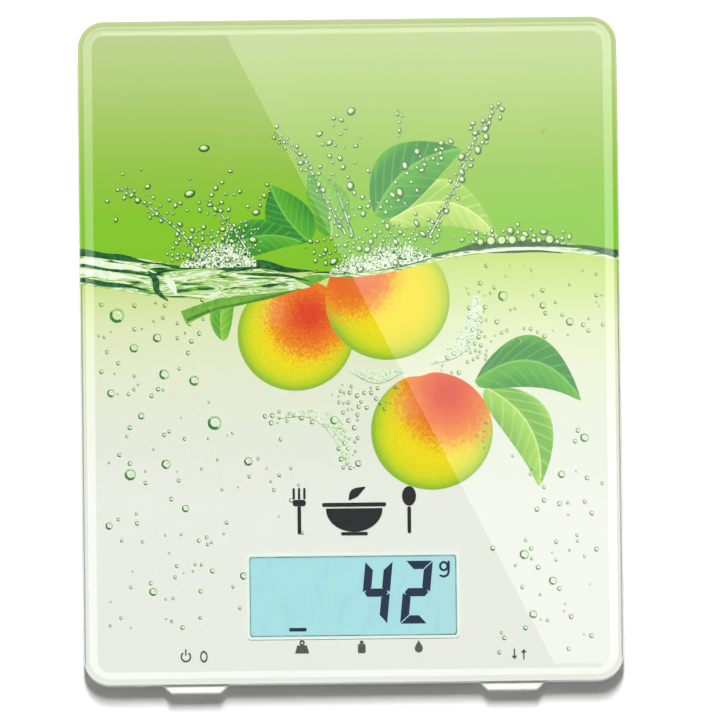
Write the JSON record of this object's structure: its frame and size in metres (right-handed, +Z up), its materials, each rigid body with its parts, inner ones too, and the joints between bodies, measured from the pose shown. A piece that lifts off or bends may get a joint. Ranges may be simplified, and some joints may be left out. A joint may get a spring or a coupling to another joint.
{
  "type": "kitchen scale",
  "caption": "Slim glass-topped electronic kitchen scale with a display under the glass, two edge buttons, four sensing feet and a coin-cell bay underneath.",
  "frame": {"origin": "on the standing surface, at the middle of the scale's outline with its buttons", "axes": "+X to the user's right, +Y away from the user, +Z up; the display and buttons are at -Y"},
  "size_m": [0.162, 0.2026, 0.0162],
  "materials": {
    "clear_glass": "tempered, polished edge",
    "glass_ink": "screen print on the back of the glass",
    "adhesive_tape": "double-sided tape",
    "white_abs": "moulded ABS, fine texture",
    "button_abs": "moulded ABS, satin",
    "zinc_screw": "zinc plated",
    "display_glass": "display cell",
    "light_guide": "clear acrylic",
    "silicone_strip": "conductive silicone",
    "circuit_board": "solder mask",
    "black_epoxy": "moulded epoxy",
    "chip_component": "fired chip",
    "cell_steel": "nickel-plated steel",
    "contact_metal": "nickel-plated spring bronze",
    "foam": "closed-cell foam",
    "red_wire": "extruded insulation",
    "white_wire": "extruded insulation",
    "black_wire": "extruded insulation",
    "switch_body": "glass-filled nylon",
    "switch_plunger": "moulded nylon",
    "grey_rubber": "moulded, non-slip",
    "sensor_steel": "nickel-plated spring steel",
    "gauge_coat": "silicone coating"
  },
  "bodies": {
    "scale_body": {"glass_platform": "clear_glass", "printed_layer": "glass_ink", "mounting_tape": "adhesive_tape", "upper_frame": "white_abs", "base_cover": "white_abs", "case_screws": "zinc_screw", "lcd_front_glass": "display_glass", "lcd_rear_glass": "display_glass", "lcd_backlight": "light_guide", "lcd_bracket": "white_abs", "zebra_strip": "silicone_strip", "main_board": "circuit_board", "board_screws": "zinc_screw", "controller_blob": "black_epoxy", "converter_chip": "black_epoxy", "board_components": "chip_component", "coin_cell": "cell_steel", "battery_contact_negative": "contact_metal", "battery_contact_positive": "contact_metal", "sensor_screws": "zinc_screw", "battery_wire_positive": "red_wire", "battery_wire_negative": "black_wire", "tare_switch": "switch_body", "mode_switch": "switch_body", "sensor_wires_red": "red_wire", "sensor_wires_white": "white_wire", "sensor_wires_black": "black_wire", "foot_cap_front_left": "button_abs", "foot_pad_front_left": "grey_rubber", "foot_screw_front_left": "zinc_screw", "load_sensor_front_left": "sensor_steel", "strain_gauge_front_left": "gauge_coat", "foot_cap_front_right": "button_abs", "foot_pad_front_right": "grey_rubber", "foot_screw_front_right": "zinc_screw", "load_sensor_front_right": "sensor_steel", "strain_gauge_front_right": "gauge_coat", "foot_cap_rear_left": "button_abs", "foot_pad_rear_left": "grey_rubber", "foot_screw_rear_left": "zinc_screw", "load_sensor_rear_left": "sensor_steel", "strain_gauge_rear_left": "gauge_coat", "foot_cap_rear_right": "button_abs", "foot_pad_rear_right": "grey_rubber", "foot_screw_rear_right": "zinc_screw", "load_sensor_rear_right": "sensor_steel", "strain_gauge_rear_right": "gauge_coat"},
    "battery_door": {"battery_door": "white_abs", "battery_door_latch": "white_abs", "battery_door_pad": "foam"},
    "tare_button": {"tare_button": "button_abs", "tare_switch_plunger": "switch_plunger"},
    "mode_button": {"mode_button": "button_abs", "mode_switch_plunger": "switch_plunger"}
  },
  "joints": [
    {"name": "battery_door_hinge", "type": "hinge", "parent": "scale_body", "child": "battery_door", "pos_m": [0, -0.0026, 0.0046], "axis": [-1, 0, 0], "range_deg": [0, 80], "deforming": ["battery_door_latch"]},
    {"name": "tare_press", "type": "slide", "parent": "scale_body", "child": "tare_button", "axis": [0, 1, 0], "range_m": [0, 0.0005], "stiffness_N_per_m": 1500, "springref_m": -0.0003},
    {"name": "mode_press", "type": "slide", "parent": "scale_body", "child": "mode_button", "axis": [0, 1, 0], "range_m": [0, 0.0005], "stiffness_N_per_m": 1500, "springref_m": -0.0003}
  ]
}
